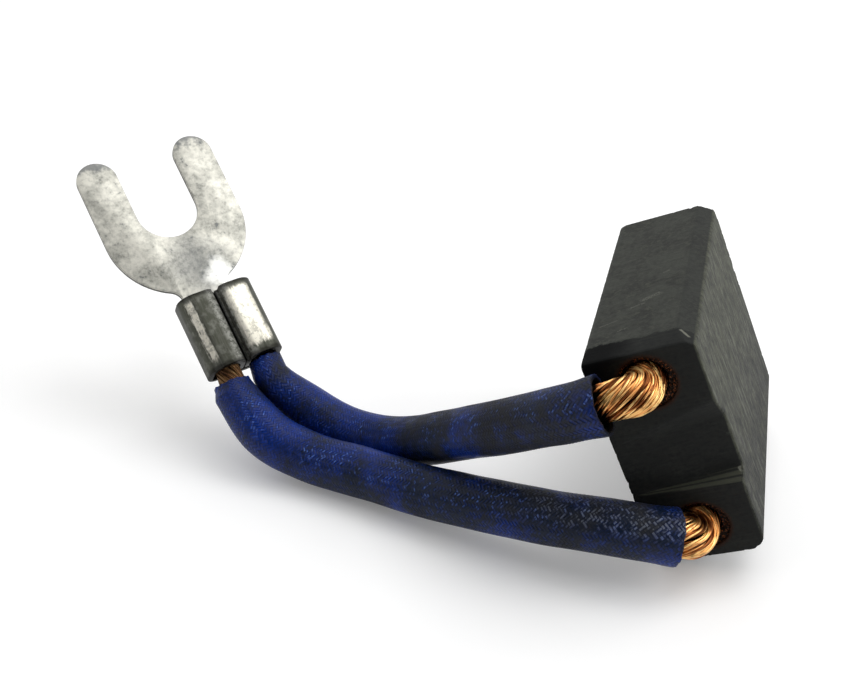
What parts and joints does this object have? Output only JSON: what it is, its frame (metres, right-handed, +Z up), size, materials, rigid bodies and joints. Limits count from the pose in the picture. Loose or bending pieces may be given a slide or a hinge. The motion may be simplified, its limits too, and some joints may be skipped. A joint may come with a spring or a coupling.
{
  "type": "carbon brush",
  "caption": "Carbon motor brush: a block with a slanting spring channel and sleeved copper leads crimped into an open fork terminal.",
  "frame": {"origin": "under the middle of the carbon block, on the surface that it rests on", "axes": "+Y along the brush's travel, from the lead face to the running face; +Z up; the block leans 23.4 degrees about Y, on one long edge, propped by the lower lead"},
  "size_m": [0.0944, 0.0433, 0.0328],
  "materials": {
    "carbon": "matt, fine-grained electrographite with machining scratches",
    "copper_powder": "tamped copper powder, dull and granular",
    "copper_rope": "bright stranded copper",
    "blue_braid": "lacquered woven sleeve, slightly glossy",
    "tinned_copper": "mottled tin plate over copper"
  },
  "bodies": {
    "root": {"carbon_block": "carbon", "tamping_upper": "copper_powder", "tamping_lower": "copper_powder", "conductor_upper": "copper_rope", "conductor_lower": "copper_rope", "sleeve_upper": "blue_braid", "sleeve_lower": "blue_braid", "fork_terminal": "tinned_copper"}
  },
  "joints": []
}
